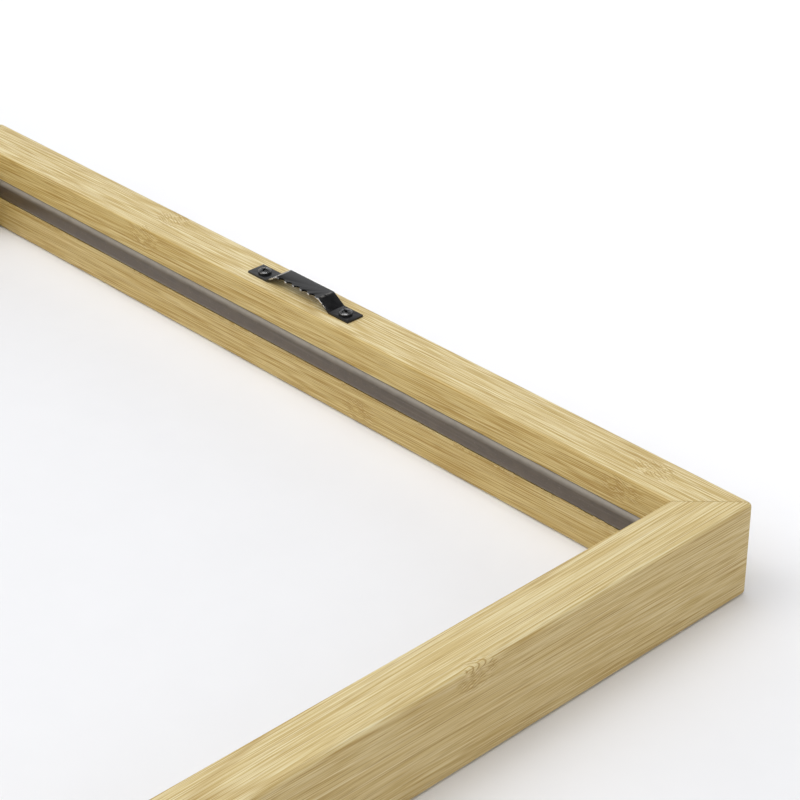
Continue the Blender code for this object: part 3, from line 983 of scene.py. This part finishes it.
def beechMaterial():
    look = beechLook
    material, tree, shader = startMaterial("beech_dowel")
    ray = cloud(tree, objectPoint(tree), *look["rays"])
    colour = blendColour(tree, spread(tree, ray, *look["paleIn"]), look["dark"], look["pale"])
    tree.links.new(colour, shader.inputs["Base Color"])
    tree.links.new(spread(tree, ray, *mostOfCloud, *look["roughness"]), shader.inputs["Roughness"])
    bumps(tree, shader, ray, *look["relief"])
    return material


beech = beechMaterial()
for name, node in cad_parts.items():
    if name.endswith("_dowel"):
        node.data.materials.clear()
        node.data.materials.append(beech)
print("dowels finished")


# floor, light and camera

stageLook = {
    "floorHalf": 15.0,
    "floor": (0.882, 0.89, 0.92),
    "floorFaint": 0.985,   # its darkest clouds
    "floorClouds": ((40, 40, 40), 3.0),   # cycles per metre of each axis, and detail
    "floorRoughness": 0.7,
    # the sky's colour, its strength low down and overhead, and the heights between which it changes
    "sky": (0.985, 0.99, 1.0),
    "skyStrength": (0.74, 0.15),
    "skyChange": (0.50, 0.74),
    # place, size in metres, watts and colour, all turned to the middle of the floor
    "softboxes": {
        "key": ((-0.8, -1.1, 1.78), 1.4, 18.0, (1.0, 0.995, 0.985)),
        "overhead": ((0.05, -0.1, 2.1), 1.6, 24.0, (1.0, 0.995, 0.985)),
    },
    # lifts the floor behind the frame to white, and hardly touches the frame
    "backSpot": {
        "place": (0, 0.34, 1.6),
        "target": (0, 1.33, 0),
        "watts": 31,
        "cone": 75,
        "blend": 0.15,
        "size": 0.1,
    },
}


def floorMaterial():
    look = stageLook
    material, tree, shader = startMaterial("pale_floor")
    faint = cloud(tree, objectPoint(tree), *look["floorClouds"])
    dim = [look["floorFaint"] * value for value in look["floor"]]
    colour = blendColour(tree, spread(tree, faint, *mostOfCloud), dim, look["floor"])
    tree.links.new(colour, shader.inputs["Base Color"])
    shader.inputs["Roughness"].default_value = look["floorRoughness"]
    return material


def hangLamp(lamp, place, target):
    hung = bpy.data.objects.new(lamp.name, lamp)
    hung.location = place
    hung.rotation_euler = (Vector(target) - Vector(place)).to_track_quat("-Z", "Y").to_euler()
    scene.collection.objects.link(hung)


def makeSky():
    look = stageLook
    world = bpy.data.worlds.new("white_studio")
    scene.world = world
    world.use_nodes = True
    tree = world.node_tree
    height = axes(tree, put(tree, "TexCoord").outputs["Generated"])["Z"]
    overhead = spread(tree, height, *look["skyChange"], smooth=True)
    glow = [[strength * value for value in look["sky"]] for strength in look["skyStrength"]]
    tree.links.new(blendColour(tree, overhead, *glow), tree.nodes["Background"].inputs["Color"])


def makeStage():
    bm = bmesh.new()
    bmesh.ops.create_grid(bm, x_segments=2, y_segments=2, size=stageLook["floorHalf"])
    floor = meshObject(bm, "floor")
    floor.data.materials.append(floorMaterial())

    makeSky()
    for name, (place, size, watts, colour) in stageLook["softboxes"].items():
        lamp = bpy.data.lights.new(name, "AREA")
        lamp.shape = "SQUARE"
        lamp.size = size
        lamp.energy = watts
        lamp.color = colour
        hangLamp(lamp, place, (0, 0, 0))
    look = stageLook["backSpot"]
    spot = bpy.data.lights.new("backSpot", "SPOT")
    spot.energy = look["watts"]
    spot.spot_size = math.radians(look["cone"])
    spot.spot_blend = look["blend"]
    spot.shadow_soft_size = look["size"]
    hangLamp(spot, look["place"], look["target"])
    scene.view_settings.view_transform = "Standard"


cameraLook = {
    "place": (512.74 * mm, -281.13 * mm, 393.25 * mm),
    "tilt": 30.573,   # degrees down
    "turn": 46.342,   # degrees to the left of +Y
    "lens": 109.45,
    "sensor": 36,
}


def makeCamera():
    look = cameraLook
    lens = bpy.data.cameras.new("camera")
    lens.sensor_fit = "HORIZONTAL"
    lens.sensor_width = look["sensor"]
    lens.lens = look["lens"]
    camera = bpy.data.objects.new("camera", lens)
    camera.location = look["place"]
    camera.rotation_euler = (math.radians(90 - look["tilt"]), 0, math.radians(look["turn"]))
    scene.collection.objects.link(camera)
    scene.camera = camera


makeStage()
makeCamera()
print("floor, light and camera set")
